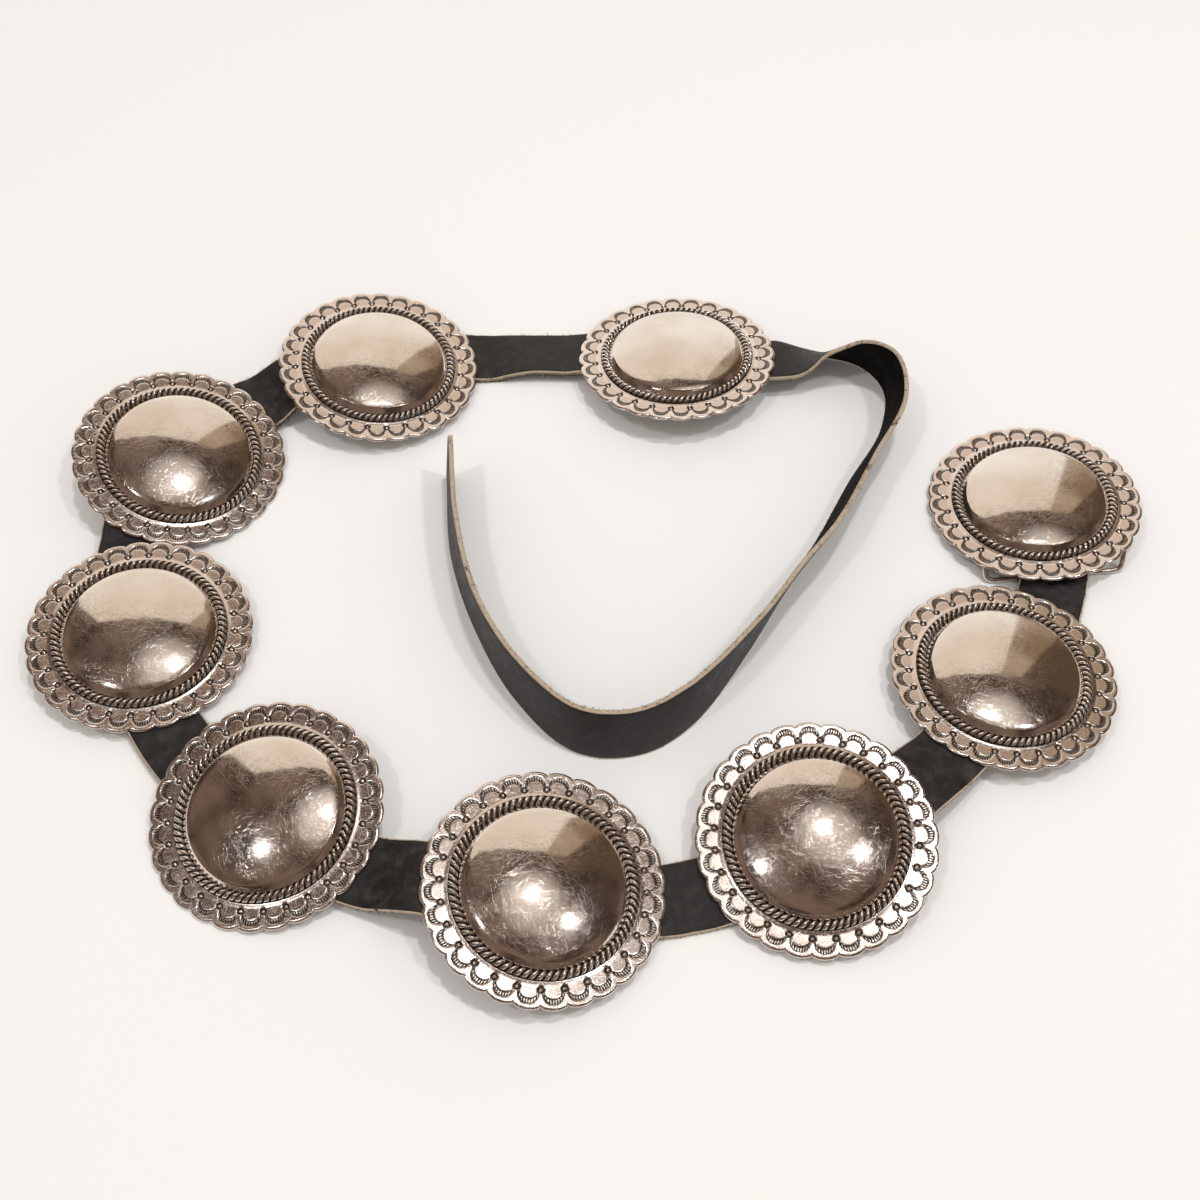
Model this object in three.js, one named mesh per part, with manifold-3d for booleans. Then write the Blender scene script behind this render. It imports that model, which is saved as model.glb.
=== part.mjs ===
// Concho belt: a leather strap carrying eight round conchos and a concho buckle.
// Millimetres, +Z up. It lies in an open curve on a flat surface, buckle to the right, and
// the free end of the strap turns on its edge and loops back inside the curve.
import * as THREE from 'three';
import { mergeVertices } from 'three/addons/utils/BufferGeometryUtils.js';
import Module from 'manifold-3d';

const wasm = await Module();
wasm.setup();

// Concho plate
const rimRadius = 44.45;        // centre to the tips of the scallops
const scallopCount = 28;
const scallopDepth = 1.6;       // tip of a scallop to the notch beside it
const scallopSegments = 3;
const plateThickness = 1.1;
const flangeWidth = 8.5;        // scallop tip to the foot of the bevel
const bevelWidth = 1.2;
const bevelHeight = 0.9;
const ropeWidth = 4.6;          // the raised rope ring
const ropeHeight = 2.1;         // above the flat of the plate
const domeFootHeight = 1.3;
const domeRise = 6.5;           // above its foot
const domeSheet = 1.1;
const roundSegments = 28;

// Strap
const strapWidth = 27.3;
const strapThickness = 2.2;
const strapStep = 7.0;          // length between two stations
const twistLength = 24;         // over which the free end turns onto its edge
const strapOffset = 4.0;        // the strap bows this far outward of each concho's centre

// Loops soldered under the plates, which the strap runs through
const loopWidth = 3.0;
const loopThickness = 1.0;
const loopInset = 3.4;          // scallop tip to the loop's outer corner
const seatGap = 0.35;           // between strap and plate, and strap and loop
const sideGap = 0.9;            // between the strap's edge and a loop's leg
const solderDepth = 0.5;        // how far a soldered foot runs into the plate

// Buckle fittings under the ninth concho
const wireRadius = 1.1;
const wireStep = 7;             // length of one straight facet of a wire
const stapleSpan = 58;          // width of the wire staple that the strap lies over
const stapleInset = 2.0;        // scallop tip to the foot of a leg
const stapleRake = 5;           // the bar is this much further from the centre than the feet
const stapleCorner = 4;
const stapleBearing = -84;      // degrees, the way that the staple faces
const postSize = 1.6;           // posts of the bar that the strap's end is folded round
const foldReturn = 9;           // length of the strap's end after the fold
const foldSlot = 5;             // slot in the fold for the hook
const hookLength = 22;
const hookDrop = 2.5;
const restGap = 0.1;            // between the belt's resting places and the surface

// Plan of the belt: lengths as multiples of the closest spacing of two conchos
const rimGap = 1.5;
const pitch = 2 * rimRadius + rimGap;

// Where each concho lies, with the rise of its plate towards +X and +Y and the bearing of a
// notch between two scallops, in degrees. Wave: how far the strap's inner edge lifts after it,
// as a share of the strap's width.
const seats = [
  { name: 'buckle_concho', x: 2.044, y: 0.538, riseX: 4.5, riseY: -4.8, notch: 6.7, wave: 0 },
  { name: 'concho_1', x: 1.757, y: -0.43, riseX: -1.2, riseY: -3.4, notch: 11.6, wave: 0 },
  { name: 'concho_2', x: 0.876, y: -1.234, riseX: 2.3, riseY: 9.4, notch: 6.9, wave: 0 },
  { name: 'concho_3', x: -0.213, y: -1.455, riseX: -8.7, riseY: 3.5, notch: 0.2, wave: 0 },
  { name: 'concho_4', x: -1.36, y: -1.124, riseX: 5.9, riseY: 7.6, notch: 4.2, wave: 0 },
  { name: 'concho_5', x: -2.03, y: -0.246, riseX: -4.1, riseY: 2.0, notch: 4.0, wave: 0 },
  { name: 'concho_6', x: -2.0, y: 0.732, riseX: -13.1, riseY: 5.9, notch: 0.5, wave: 0 },
  { name: 'concho_7', x: -1.11, y: 1.346, riseX: -7.9, riseY: 0.8, notch: 10.2, wave: 0.09 },
  { name: 'concho_8', x: 0.379, y: 1.423, riseX: 2.0, riseY: -8.4, notch: 7.7, wave: 0 },
];

// The strap before the first loop: its folded end at the buckle, then over the staple
const strapStart = [
  { x: 2.075, y: 0.487 },
  { x: 2.083, y: 0.144 },
];

// The free end after the last concho, with the lean of the strap from flat, in degrees
const tail = [
  { x: 0.81, y: 1.4, lean: 16 },
  { x: 1.09, y: 1.42, lean: 44 },
  { x: 1.3, y: 1.4, lean: 68 },
  { x: 1.43, y: 1.27, lean: 90 },
  { x: 1.42, y: 1.0, lean: 104 },
  { x: 1.235, y: 0.65, lean: 108 },
  { x: 1.04, y: 0.28, lean: 108 },
  { x: 0.86, y: 0.02, lean: 104 },
  { x: 0.67, y: -0.28, lean: 97 },
  { x: 0.38, y: -0.64, lean: 84 },
  { x: 0.16, y: -0.77, lean: 81 },
  { x: -0.09, y: -0.76, lean: 81 },
  { x: -0.34, y: -0.53, lean: 85 },
  { x: -0.54, y: -0.18, lean: 88 },
  { x: -0.665, y: 0.24, lean: 83 },
  { x: -0.717, y: 0.715, lean: 84 },
];

const silver = { color: 0xb9a899, metalness: 1.0, roughness: 0.25 };
const leather = { color: 0x242021, metalness: 0.0, roughness: 0.7 };

const up = new THREE.Vector3(0, 0, 1);
const radians = THREE.MathUtils.degToRad;
const smooth = (low, high, value) => THREE.MathUtils.smoothstep(value, low, high);
const leftOf = ({ x, y }) => new THREE.Vector3(-y, x, 0);

// A closed geometry to a solid that can be joined and cut, and back
function solidOf(geometry, matrix = new THREE.Matrix4()) {
  const bare = geometry.clone().applyMatrix4(matrix);
  bare.deleteAttribute('normal');
  bare.deleteAttribute('uv');
  const merged = mergeVertices(bare, 1e-4);
  return new wasm.Manifold(new wasm.Mesh({
    numProp: 3,
    vertProperties: new Float32Array(merged.attributes.position.array),
    triVerts: new Uint32Array(merged.index.array),
  }));
}

function geometryOf(solid) {
  const mesh = solid.getMesh();
  const geometry = new THREE.BufferGeometry();
  geometry.setAttribute('position', new THREE.BufferAttribute(mesh.vertProperties, 3));
  geometry.setIndex(new THREE.BufferAttribute(mesh.triVerts, 1));
  geometry.computeVertexNormals();
  return geometry;
}

// A plate's normal, from its rise towards +X and +Y
function plateNormal({ riseX, riseY }) {
  return new THREE.Vector3(-Math.tan(radians(riseX)), -Math.tan(radians(riseY)), 1).normalize();
}

// What the loops take up under a plate
const strapDrop = plateThickness + seatGap + strapThickness / 2;
const loopDepth = strapDrop + strapThickness / 2 + seatGap + loopThickness;
const legOuter = strapWidth / 2 + sideGap + loopThickness;
const loopReach = Math.sqrt((rimRadius - loopInset) ** 2 - (legOuter + strapOffset / 2) ** 2)
  - loopWidth / 2;
const loopEnd = loopReach + loopWidth / 2;

// Buckle centre to the feet of the staple's legs, and to its low bar
const stapleFoot = Math.sqrt((rimRadius - stapleInset) ** 2 - (stapleSpan / 2) ** 2);
const stapleReach = stapleFoot + stapleRake;

const rimEnd = rimRadius + rimGap;

const buckle = seats[0];
const loopSeats = seats.slice(1);

// The belt's left at each concho is on the outside of the curve
seats.forEach((seat, i) => {
  const before = seats[i - 1] ?? seat;
  const after = seats[i + 1] ?? tail[0];
  seat.left = leftOf({ x: after.x - before.x, y: after.y - before.y }).normalize();
  seat.normal = plateNormal(seat);
});

// The route in plan: the strap runs outward of each concho's centre
const inPlan = ({ x, y }) => new THREE.Vector3(x * pitch, y * pitch, 0);
const route = [
  ...strapStart.map(inPlan),
  ...loopSeats.map((seat) => inPlan(seat).addScaledVector(seat.left, strapOffset)),
  ...tail.map(inPlan),
];
const plan = new THREE.CatmullRomCurve3(route);
const leans = new THREE.CatmullRomCurve3(
  tail.map(({ lean }, i) => new THREE.Vector3(i, lean, 0)), false, 'catmullrom');

// Walk the plan in fine steps, to know the length run at each row of the route
const finePerRow = 60;
const fine = [];
let run = 0;
for (let i = 0; i <= (route.length - 1) * finePerRow; i++) {
  const t = i / ((route.length - 1) * finePerRow);
  const point = plan.getPoint(t);
  if (i > 0) run += point.distanceTo(fine[i - 1].point);
  fine.push({ point, run, row: t * (route.length - 1) });
}
const strapLength = run;
const firstSeatRow = strapStart.length;
const tailRow = firstSeatRow + loopSeats.length;
const runAt = (row) => fine[row * finePerRow].run;
const seatRuns = [0, ...loopSeats.map((seat, i) => runAt(firstSeatRow + i))];

// Point, row and heading at a length run along the strap
function planAt(length) {
  const i = Math.max(1, fine.findIndex((step) => step.run >= length));
  const [a, b] = [fine[i - 1], fine[i]];
  const share = (length - a.run) / (b.run - a.run);
  return {
    point: a.point.clone().lerp(b.point, share),
    row: a.row + (b.row - a.row) * share,
    heading: b.point.clone().sub(a.point).normalize(),
  };
}

// How much higher the flat of a plate is over a place than at its centre
function rise({ centre, normal }, { x, y }) {
  return -(normal.x * (x - centre.x) + normal.y * (y - centre.y)) / normal.z;
}

// Each concho rests on the lowest point of its rim, or on the lowest corner of its loops
seats.forEach((seat, i) => {
  const { normal } = seat;
  seat.centre = inPlan(seat);
  const rimDrop = rimRadius * Math.hypot(normal.x, normal.y) + plateThickness * normal.z;
  const loopDrops = [-1, 1].flatMap((end) => [-1, 1].map((side) => {
    const { point, heading } = planAt(Math.max(0, seatRuns[i] + end * loopEnd));
    const corner = point.addScaledVector(leftOf(heading), side * legOuter)
      .addScaledVector(normal, -loopDepth);
    return loopDepth * normal.z - rise(seat, corner);
  }));
  const drop = seat === buckle ? rimDrop : Math.max(rimDrop, ...loopDrops);
  seat.centre.setZ(drop + restGap);
});

// Height of the strap's middle in the plane that one seat gives it
function strapPlane(seat, place) {
  if (seat === buckle) return restGap + 2 * wireRadius + seatGap + strapThickness / 2;
  return seat.centre.z + rise(seat, place) - strapDrop / seat.normal.z;
}

// How high the strap's middle must be for its lower corner to touch the surface
function restingHeight(across) {
  const level = Math.hypot(across.x, across.y);
  return restGap + strapWidth / 2 * Math.abs(across.z) + strapThickness / 2 * level;
}

// Height of one edge of the strap between two seats. It keeps to the lower plane up to that
// concho's rim, and meets the higher one at its loop.
function edgeHeight(index, length, place) {
  const [a, b] = [seats[index], seats[index + 1]];
  const [heightA, heightB] = [strapPlane(a, place), strapPlane(b, place)];
  const reach = heightA < heightB ? rimEnd : loopEnd;
  const start = seatRuns[index] + (a === buckle ? stapleReach : reach);
  const end = seatRuns[index + 1] - (heightB < heightA ? rimEnd : loopEnd);
  return heightA + (heightB - heightA) * smooth(start, end, length);
}

// Between two seats each edge of the strap goes from one plane to the other, and the edge on
// the inside of the curve can lift in a wave
function betweenSeats(index, length, point, left) {
  const [from, to] = [seatRuns[index] + rimEnd, seatRuns[index + 1] - rimEnd];
  const share = THREE.MathUtils.clamp((length - from) / (to - from), 0, 1);
  const wave = seats[index].wave * strapWidth * Math.sin(Math.PI * share) ** 2;
  const lift = (side) => edgeHeight(index, length,
    point.clone().addScaledVector(left, side * strapWidth / 2));
  const [outside, inside] = [lift(1), lift(-1) + wave];
  const across = left.clone().multiplyScalar(strapWidth).addScaledVector(up, outside - inside);
  return { height: (outside + inside) / 2, across: across.normalize() };
}

// Past the last rim the strap turns onto its edge and stands on the surface
function onTail(length, row, point, left) {
  const last = seats[seats.length - 1];
  const start = seatRuns[seatRuns.length - 1] + rimEnd;
  const share = smooth(start, start + twistLength, length);
  const place = THREE.MathUtils.clamp((row - tailRow) / (tail.length - 1), 0, 1);
  const lean = radians(leans.getPoint(place).y);
  const flat = left.clone().setZ(-last.normal.dot(left) / last.normal.z).normalize();
  const across = flat.lerp(left.clone().multiplyScalar(Math.cos(lean))
    .addScaledVector(up, -Math.sin(lean)), share).normalize();
  const height = strapPlane(last, point);
  return { height: height + (restingHeight(across) - height) * share, across };
}

// The strap's middle, and its forward, grain and left directions, at a length run
function strapAt(length) {
  const { point, row, heading } = planAt(length);
  const left = leftOf(heading);
  const passed = seatRuns.filter((at) => at <= length).length - 1;
  const { height, across } = passed === seatRuns.length - 1
    ? onTail(length, row, point, left) : betweenSeats(passed, length, point, left);
  const grain = new THREE.Vector3().crossVectors(heading, across);
  const middle = point.setZ(Math.max(height, restingHeight(across)));
  return { middle, heading, grain, across };
}

// Lengths at which the strap has a station: at each loop, each rim and the staple, and in
// equal steps between them, longer ones where a plate hides the strap
function stationLengths() {
  const marks = seatRuns.slice(1).flatMap((at) => (
    [-rimEnd, -loopEnd, loopEnd, rimEnd].map((reach) => at + reach)));
  const all = [0, stapleReach, ...marks, strapLength].sort((a, b) => a - b);
  return all.slice(1).flatMap((end, i) => {
    const start = all[i];
    const hidden = seatRuns.some((at) => at > start && at < end);
    const steps = Math.ceil((end - start) / (hidden ? 2 * strapStep : strapStep));
    return Array.from({ length: steps }, (_, k) => start + (end - start) * (k + 1) / steps);
  });
}

// A long box, bent along the strap's route
function ribbon() {
  const stations = [0, ...stationLengths()].map(strapAt);
  const count = stations.length - 1;
  const geometry = new THREE.BoxGeometry(count, strapWidth, strapThickness, count, 1, 1);
  const corners = geometry.attributes.position;
  for (let i = 0; i < corners.count; i++) {
    const station = stations[Math.round(corners.getX(i) + count / 2)];
    const corner = station.middle.clone()
      .addScaledVector(station.across, corners.getY(i))
      .addScaledVector(station.grain, corners.getZ(i));
    corners.setXYZ(i, corner.x, corner.y, corner.z);
  }
  return geometry;
}

// Axes at the strap's folded end: X along the strap, Y across it, Z up, on its middle
const endStation = strapAt(0);
const endFrame = new THREE.Matrix4()
  .makeBasis(endStation.heading, endStation.across, endStation.grain)
  .setPosition(endStation.middle);
const barHeight = strapThickness / 2 + seatGap + wireRadius;

// The end turned up and back over the bar, in two tongues either side of the hook's slot
function foldedEnd() {
  const inner = wireRadius + seatGap;
  const outer = inner + strapThickness;
  const shape = new THREE.Shape();
  shape.moveTo(0.5, -outer);
  shape.lineTo(0, -outer);
  shape.absarc(0, 0, outer, -Math.PI / 2, -1.5 * Math.PI, true);
  shape.lineTo(foldReturn, outer);
  shape.lineTo(foldReturn, inner);
  shape.lineTo(0, inner);
  shape.absarc(0, 0, inner, -1.5 * Math.PI, -Math.PI / 2, false);
  shape.lineTo(0.5, -inner);
  const width = (strapWidth - foldSlot) / 2;
  const half = new THREE.ExtrudeGeometry(shape, {
    depth: width, bevelEnabled: false, curveSegments: 8,
  });
  return [foldSlot / 2, -strapWidth / 2].map((start) => {
    const place = new THREE.Matrix4().makeBasis(
      new THREE.Vector3(1, 0, 0), new THREE.Vector3(0, 0, 1), new THREE.Vector3(0, -1, 0));
    place.setPosition(0, start + width, barHeight);
    return solidOf(half, endFrame.clone().multiply(place));
  });
}

function strap() {
  return foldedEnd().reduce((solid, half) => solid.add(half), solidOf(ribbon()));
}

// Outline of a plate: each scallop is a shallow bow between two notches
function scallopedOutline(notchBearing) {
  const shape = new THREE.Shape();
  const steps = scallopCount * scallopSegments;
  for (let i = 0; i <= steps; i++) {
    const share = (i % scallopSegments) / scallopSegments;
    const radius = rimRadius - scallopDepth * (1 - Math.sqrt(Math.sin(Math.PI * share)));
    const angle = notchBearing + 2 * Math.PI * i / steps;
    const [x, y] = [radius * Math.cos(angle), radius * Math.sin(angle)];
    if (i === 0) shape.moveTo(x, y);
    else shape.lineTo(x, y);
  }
  return shape;
}

// Turned profiles: radius and height above the flat of the plate
const bevelFoot = rimRadius - flangeWidth;
const ropeOuter = bevelFoot - bevelWidth;
const domeRadius = ropeOuter - ropeWidth;

// Height of a round cap, as far out as r from its middle
function capHeight(radius, foot, r) {
  const sphere = (radius ** 2 + domeRise ** 2) / (2 * domeRise);
  return foot + domeRise - sphere + Math.sqrt(sphere ** 2 - r ** 2);
}

function capProfile(radius, foot, steps) {
  return Array.from({ length: steps + 1 }, (_, i) => {
    const r = radius * (1 - i / steps);
    return new THREE.Vector2(r, capHeight(radius, foot, r));
  });
}

function turned(profile) {
  const lathe = new THREE.LatheGeometry(profile, roundSegments);
  return solidOf(lathe, new THREE.Matrix4().makeRotationX(Math.PI / 2));
}

function raisedCentre() {
  const rope = [0.25, 0.5, 0.75].map((share) => new THREE.Vector2(
    ropeOuter - ropeWidth * share,
    bevelHeight + (ropeHeight - bevelHeight) * Math.sin(Math.PI * share)));
  return turned([
    new THREE.Vector2(0, -plateThickness / 2),
    new THREE.Vector2(bevelFoot, -plateThickness / 2),
    new THREE.Vector2(bevelFoot, 0),
    new THREE.Vector2(ropeOuter, bevelHeight),
    ...rope,
    ...capProfile(domeRadius, domeFootHeight, 4),
  ]);
}

function hollow() {
  const radius = domeRadius - domeSheet;
  const below = 2 * plateThickness;
  return turned([
    new THREE.Vector2(0, -below),
    new THREE.Vector2(radius, -below),
    ...capProfile(radius, domeFootHeight - domeSheet, 2),
  ]);
}

// A loop of flat strip, open towards the plate that it is soldered to
function loop(x, y, bearing) {
  const inner = strapWidth / 2 + sideGap;
  const top = -plateThickness + solderDepth;
  const floor = loopThickness - loopDepth;
  const outline = [
    [-legOuter, top], [-legOuter, -loopDepth], [legOuter, -loopDepth], [legOuter, top],
    [inner, top], [inner, floor], [-inner, floor], [-inner, top],
  ];
  const shape = new THREE.Shape(outline.map(([across, z]) => new THREE.Vector2(across, z)));
  const strip = new THREE.ExtrudeGeometry(shape, { depth: loopWidth, bevelEnabled: false });
  const place = new THREE.Matrix4().makeTranslation(x, y, 0)
    .multiply(new THREE.Matrix4().makeRotationZ(bearing))
    .multiply(new THREE.Matrix4().makeBasis(
      new THREE.Vector3(0, 1, 0), new THREE.Vector3(0, 0, 1), new THREE.Vector3(1, 0, 0)))
    .multiply(new THREE.Matrix4().makeTranslation(0, 0, -loopWidth / 2));
  return solidOf(strip, place);
}

// A wire of straight runs with rounded corners and flat ends
function wire(points, corner) {
  const path = new THREE.CurvePath();
  let from = points[0];
  for (let i = 1; i < points.length - 1; i++) {
    const before = points[i].clone().sub(points[i - 1]).setLength(corner);
    const after = points[i + 1].clone().sub(points[i]).setLength(corner);
    const [start, end] = [points[i].clone().sub(before), points[i].clone().add(after)];
    path.add(new THREE.LineCurve3(from, start));
    path.add(new THREE.QuadraticBezierCurve3(start, points[i], end));
    from = end;
  }
  path.add(new THREE.LineCurve3(from, points[points.length - 1]));
  const section = new THREE.Shape();
  section.absarc(0, 0, wireRadius, 0, 2 * Math.PI);
  return solidOf(new THREE.ExtrudeGeometry(section, {
    extrudePath: path, steps: Math.ceil(path.getLength() / wireStep), curveSegments: 3,
  }));
}

// The wire staple that the strap lies over, soldered under the buckle's flange
function staple() {
  const bearing = radians(stapleBearing);
  const forward = new THREE.Vector3(Math.cos(bearing), Math.sin(bearing), 0);
  const left = leftOf(forward);
  const at = (ahead, aside, height) => buckle.centre.clone().setZ(height)
    .addScaledVector(forward, ahead).addScaledVector(left, aside);
  const low = restGap + wireRadius;
  const half = stapleSpan / 2;
  const leg = (side) => {
    const foot = at(stapleFoot, side * half, 0);
    foot.setZ(buckle.centre.z + rise(buckle, foot) - solderDepth);
    return [foot, at(stapleReach, side * half, low)];
  };
  return wire([...leg(-1), ...leg(1).reverse()], stapleCorner);
}

// The bar that the strap's end is folded round, its two posts up to the dome, and the hook
function barAndHook(inverse) {
  const half = strapWidth / 2 + seatGap + postSize;
  const rod = wire([-half, half].map((y) => new THREE.Vector3(0, y, barHeight)), 0);
  const hook = wire([
    new THREE.Vector3(0, 0, barHeight),
    new THREE.Vector3(-hookLength * 0.6, 0, barHeight),
    new THREE.Vector3(-hookLength, 0, barHeight - hookDrop),
  ], hookDrop);
  const posts = [-1, 1].map((side) => {
    const foot = new THREE.Vector3(0, side * (half - postSize / 2), barHeight)
      .applyMatrix4(endFrame).applyMatrix4(inverse);
    const top = capHeight(domeRadius - domeSheet, domeFootHeight - domeSheet,
      Math.hypot(foot.x, foot.y)) + domeSheet / 2;
    const post = new THREE.BoxGeometry(postSize, postSize, top - foot.z);
    const place = new THREE.Matrix4().makeTranslation(foot.x, foot.y, (top + foot.z) / 2);
    return solidOf(post, place);
  });
  const carried = inverse.clone().multiply(endFrame).toArray();
  return [rod.transform(carried), hook.transform(carried), ...posts];
}

// The concho's own axes: X along the strap, Z out of the plate's face
function conchoFrame(seat, heading) {
  const z = seat.normal;
  const x = heading.clone().addScaledVector(z, -heading.dot(z)).normalize();
  const y = new THREE.Vector3().crossVectors(z, x);
  return new THREE.Matrix4().makeBasis(x, y, z).setPosition(seat.centre);
}

function conchoPlate(seat, frame) {
  const axis = new THREE.Vector3().setFromMatrixColumn(frame, 0);
  const notch = radians(seat.notch) - Math.atan2(axis.y, axis.x);
  const plate = new THREE.ExtrudeGeometry(scallopedOutline(notch), {
    depth: plateThickness, bevelEnabled: false,
  });
  const lowered = new THREE.Matrix4().makeTranslation(0, 0, -plateThickness);
  return solidOf(plate, lowered).add(raisedCentre()).subtract(hollow());
}

function concho(seat, index) {
  const length = seatRuns[index];
  const frame = conchoFrame(seat, strapAt(length).heading);
  const inverse = frame.clone().invert();
  const plate = conchoPlate(seat, frame);
  const fittings = seat === buckle
    ? [staple().transform(inverse.toArray()), ...barAndHook(inverse)]
    : [-1, 1].map((side) => {
      const station = strapAt(length + side * loopReach);
      const place = station.middle.applyMatrix4(inverse);
      const forward = station.heading.transformDirection(inverse);
      return loop(place.x, place.y, Math.atan2(forward.y, forward.x));
    });
  const solid = fittings.reduce((whole, fitting) => whole.add(fitting), plate);
  const mesh = new THREE.Mesh(geometryOf(solid), new THREE.MeshStandardMaterial(silver));
  mesh.name = seat.name;
  mesh.applyMatrix4(frame);
  return mesh;
}

const strapMesh = new THREE.Mesh(geometryOf(strap()), new THREE.MeshStandardMaterial(leather));
strapMesh.name = 'strap';

// The origin is on the surface, under the middle of the whole belt
const laidBelt = new THREE.Group();
laidBelt.add(strapMesh, ...seats.map(concho));
const extent = new THREE.Box3().setFromObject(laidBelt, true);
const middle = extent.getCenter(new THREE.Vector3());
laidBelt.position.set(-middle.x, -middle.y, -extent.min.z);

const belt = new THREE.Group();
belt.add(laidBelt);
belt.updateMatrixWorld(true);

export default belt;
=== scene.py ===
# Concho belt: a black leather strap carrying eight round silver conchos and a concho buckle,
# laid in an open curve on a pale surface. Lengths are in millimetres until a mesh is made.
import math

import bpy
import numpy as np
from mathutils import Matrix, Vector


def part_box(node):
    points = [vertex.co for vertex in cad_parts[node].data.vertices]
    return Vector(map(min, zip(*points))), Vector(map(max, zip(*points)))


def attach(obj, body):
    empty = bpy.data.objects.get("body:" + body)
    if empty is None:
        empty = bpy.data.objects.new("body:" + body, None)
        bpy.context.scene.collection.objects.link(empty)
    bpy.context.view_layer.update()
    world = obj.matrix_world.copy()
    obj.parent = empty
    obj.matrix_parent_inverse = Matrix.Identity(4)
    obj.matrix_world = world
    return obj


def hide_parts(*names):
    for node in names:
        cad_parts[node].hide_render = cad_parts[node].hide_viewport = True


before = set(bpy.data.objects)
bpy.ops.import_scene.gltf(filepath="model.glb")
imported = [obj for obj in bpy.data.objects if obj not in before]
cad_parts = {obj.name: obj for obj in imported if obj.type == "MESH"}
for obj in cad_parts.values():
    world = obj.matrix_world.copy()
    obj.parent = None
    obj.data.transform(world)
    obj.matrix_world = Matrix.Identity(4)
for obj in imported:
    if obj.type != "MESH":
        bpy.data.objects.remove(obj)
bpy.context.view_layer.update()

MM = 0.001

# Concho plate
RIM_RADIUS = 44.45
SCALLOPS = 28
SCALLOP_DEPTH = 1.6
PLATE_THICKNESS = 1.1
FLANGE_WIDTH = 8.5
BEVEL_WIDTH = 1.5
BEVEL_TOP = 0.3
ROPE_WIDTH = 3.8
ROPE_HEIGHT = 2.1
DOME_FOOT = 1.3
DOME_RISE = 6.5
DOME_SHEET = 1.1
SHOULDER_HEIGHT = 1.3           # the sloping band round the dome
SHOULDER_WIDTH = 2.1
BEVEL_FOOT = RIM_RADIUS - FLANGE_WIDTH
ROPE_OUTER = BEVEL_FOOT - BEVEL_WIDTH
DOME_RADIUS = ROPE_OUTER - ROPE_WIDTH

# Strap and the loops that it runs through
STRAP_WIDTH = 27.3
STRAP_THICKNESS = 2.2
STRAP_OFFSET = 4.0
LOOP_WIDTH = 3.0
LOOP_THICKNESS = 1.0
LOOP_INSET = 3.4
SEAT_GAP = 0.35
SIDE_GAP = 0.9
SOLDER_DEPTH = 0.5
REST_GAP = 0.1
TWIST_LENGTH = 24
RIM_GAP = 1.5
PITCH = 2 * RIM_RADIUS + RIM_GAP

# Buckle fittings
WIRE_RADIUS = 1.1
STAPLE_SPAN = 58
STAPLE_INSET = 2.0
STAPLE_RAKE = 5
STAPLE_CORNER = 4
STAPLE_BEARING = -84
POST_SIZE = 1.6
FOLD_RETURN = 9
FOLD_SLOT = 5
HOOK_LENGTH = 22
HOOK_DROP = 2.5

# Where each concho lies, in pitches, with the rise of its plate towards +X and +Y and the
# bearing of a notch, in degrees, and the lift of the strap's inner edge after it
SEATS = [
    ("buckle_concho", 2.044, 0.538, 4.5, -4.8, 6.7, 0),
    ("concho_1", 1.757, -0.43, -1.2, -3.4, 11.6, 0),
    ("concho_2", 0.876, -1.234, 2.3, 9.4, 6.9, 0),
    ("concho_3", -0.213, -1.455, -8.7, 3.5, 0.2, 0),
    ("concho_4", -1.36, -1.124, 5.9, 7.6, 4.2, 0),
    ("concho_5", -2.03, -0.246, -4.1, 2.0, 4.0, 0),
    ("concho_6", -2.0, 0.732, -13.1, 5.9, 0.5, 0),
    ("concho_7", -1.11, 1.346, -7.9, 0.8, 10.2, 0.09),
    ("concho_8", 0.379, 1.423, 2.0, -8.4, 7.7, 0),
]
STRAP_START = [(2.075, 0.487), (2.083, 0.144)]

# The free end: place in pitches and lean of the strap from flat, in degrees
TAIL = [
    (0.81, 1.4, 16), (1.09, 1.42, 44), (1.3, 1.4, 68), (1.43, 1.27, 90),
    (1.42, 1.0, 104), (1.235, 0.65, 108), (1.04, 0.28, 108), (0.86, 0.02, 104),
    (0.67, -0.28, 97), (0.38, -0.64, 84), (0.16, -0.77, 81), (-0.09, -0.76, 81),
    (-0.34, -0.53, 85), (-0.54, -0.18, 88), (-0.665, 0.24, 83), (-0.717, 0.715, 84),
]

LOOP_DROP = PLATE_THICKNESS + SEAT_GAP + STRAP_THICKNESS / 2
LOOP_DEPTH = LOOP_DROP + STRAP_THICKNESS / 2 + SEAT_GAP + LOOP_THICKNESS
LEG_OUTER = STRAP_WIDTH / 2 + SIDE_GAP + LOOP_THICKNESS
LOOP_REACH = math.sqrt((RIM_RADIUS - LOOP_INSET) ** 2 - (LEG_OUTER + STRAP_OFFSET / 2) ** 2) \
    - LOOP_WIDTH / 2
LOOP_END = LOOP_REACH + LOOP_WIDTH / 2
RIM_END = RIM_RADIUS + RIM_GAP
STAPLE_FOOT = math.sqrt((RIM_RADIUS - STAPLE_INSET) ** 2 - (STAPLE_SPAN / 2) ** 2)
STAPLE_REACH = STAPLE_FOOT + STAPLE_RAKE


def smooth(low, high, value):
    t = np.clip((value - low) / (high - low), 0.0, 1.0)
    return t * t * (3 - 2 * t)


def unit(vector):
    return vector / np.linalg.norm(vector)


def left_of(heading):
    return np.array([-heading[1], heading[0], 0.0])


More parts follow.
